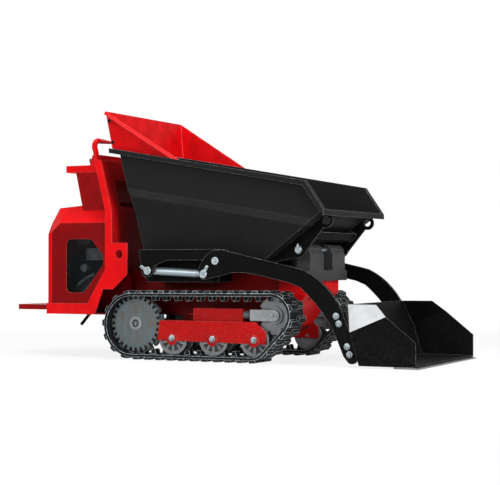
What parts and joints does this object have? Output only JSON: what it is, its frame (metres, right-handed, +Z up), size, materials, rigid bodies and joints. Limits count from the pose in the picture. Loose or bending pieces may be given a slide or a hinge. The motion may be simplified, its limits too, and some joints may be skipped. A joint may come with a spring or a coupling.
{
  "type": "tracked site dumper with self-loading shovel",
  "caption": "Walk-behind rubber-tracked mini dumper with a front-tipping skip, spill guard, self-loading shovel on swan-neck arms, engine hood, console and folding footplate.",
  "frame": {"origin": "on the ground, below the middle of the machine's bounding box", "axes": "+X forward to the shovel, +Y to the machine's left, +Z up"},
  "size_m": [2.585, 0.956, 1.3886],
  "materials": {
    "track_rubber": "worn black rubber",
    "cast_grey": "painted cast wheels",
    "raw_steel": "bare flame-cut steel, streaked",
    "zinc": "zinc plated",
    "chrome_tube": "polished steel",
    "red_gloss": "glossy powder coat",
    "red_door": "deep red powder coat",
    "black_texture": "textured black powder coat",
    "dark_grey": "dark grey paint",
    "mesh_black": "black expanded metal",
    "engine_grey": "engine block",
    "worn_edge": "scuffed steel",
    "pad_rubber": "rubber pad",
    "knob_black": "lever knobs"
  },
  "bodies": {
    "chassis": {"track_right": "track_rubber", "track_left": "track_rubber", "sprocket_right": "raw_steel", "sprocket_left": "raw_steel", "drive_motor_right": "dark_grey", "drive_motor_left": "dark_grey", "rollers_right": "cast_grey", "rollers_left": "cast_grey", "track_frame_right": "red_gloss", "track_frame_left": "red_gloss", "idler_right": "cast_grey", "idler_left": "cast_grey", "tensioner_right": "red_gloss", "tensioner_left": "red_gloss", "side_frame_right": "red_gloss", "side_frame_left": "red_gloss", "hood_grille_right": "mesh_black", "hood_grille_left": "mesh_black", "arm_bracket_right": "black_texture", "arm_bracket_left": "black_texture", "chassis_frame": "red_gloss", "hood": "red_gloss", "engine_block": "engine_grey", "bulkhead": "red_gloss", "console_column": "red_gloss", "console_tray": "red_gloss", "lever_guard": "red_gloss", "control_levers": "knob_black", "grab_handle": "red_gloss", "drain_tube": "black_texture", "pedestal": "dark_grey", "skip_rests": "pad_rubber", "chassis_pins": "zinc"},
    "skip_body": {"skip": "black_texture", "skip_underframe": "black_texture", "skip_hinge_pin": "zinc", "spill_guard": "red_gloss"},
    "tip_barrel": {"ram_barrel": "black_texture"},
    "tip_rod": {"ram_rod": "chrome_tube"},
    "loader": {"loader_arm_right": "black_texture", "loader_arm_left": "black_texture", "lever_pins": "zinc", "bucket": "black_texture", "cutting_edge": "worn_edge", "bucket_mount": "black_texture"},
    "lift_barrel_right": {"cylinder_barrel_right": "chrome_tube"},
    "lift_barrel_left": {"cylinder_barrel_left": "chrome_tube"},
    "lift_rod_right": {"cylinder_rod_right": "chrome_tube"},
    "lift_rod_left": {"cylinder_rod_left": "chrome_tube"},
    "step": {"footplate": "red_gloss"}
  },
  "joints": [
    {"name": "skip_tip", "type": "hinge", "parent": "chassis", "child": "skip_body", "pos_m": [0.5565, 0, 0.605], "axis": [0, 1, 0], "range_deg": [0, 70]},
    {"name": "tip_barrel_swing", "type": "hinge", "parent": "chassis", "child": "tip_barrel", "pos_m": [0.0185, 0, 0.3], "axis": [0, -1, 0], "range_deg": [0, 27.79]},
    {"name": "tip_rod_slide", "type": "slide", "parent": "tip_barrel", "child": "tip_rod", "axis": [0.8812, 0, 0.4727], "range_m": [0, 0.23422]},
    {"name": "arm_lift", "type": "hinge", "parent": "chassis", "child": "loader", "pos_m": [0.1405, 0, 0.545], "axis": [0, -1, 0], "range_deg": [0, 125]},
    {"name": "step_fold", "type": "hinge", "parent": "chassis", "child": "step", "pos_m": [-1.0295, 0, 0.272], "axis": [0, 1, 0], "range_deg": [0, 78]},
    {"name": "lift_barrel_swing_right", "type": "hinge", "parent": "chassis", "child": "lift_barrel_right", "pos_m": [-0.2895, -0.407, 0.491], "axis": [0, -1, 0], "range_deg": [0, 6.63]},
    {"name": "lift_rod_slide_right", "type": "slide", "parent": "lift_barrel_right", "child": "lift_rod_right", "axis": [0.9989, 0, -0.0474], "range_m": [0, 0.17246]},
    {"name": "lift_barrel_swing_left", "type": "hinge", "parent": "chassis", "child": "lift_barrel_left", "pos_m": [-0.2895, 0.407, 0.491], "axis": [0, -1, 0], "range_deg": [0, 6.63]},
    {"name": "lift_rod_slide_left", "type": "slide", "parent": "lift_barrel_left", "child": "lift_rod_left", "axis": [0.9989, 0, -0.0474], "range_m": [0, 0.17246]}
  ],
  "couplings": [
    {"joint": "tip_barrel_swing", "follows": "skip_tip", "ratio": 0.39631},
    {"joint": "tip_rod_slide", "follows": "skip_tip", "m_per_rad": 0.19155},
    {"joint": "lift_barrel_swing_right", "follows": "arm_lift", "ratio": 0.052648},
    {"joint": "lift_rod_slide_right", "follows": "arm_lift", "m_per_rad": 0.078958},
    {"joint": "lift_barrel_swing_left", "follows": "arm_lift", "ratio": 0.052648},
    {"joint": "lift_rod_slide_left", "follows": "arm_lift", "m_per_rad": 0.078958}
  ]
}
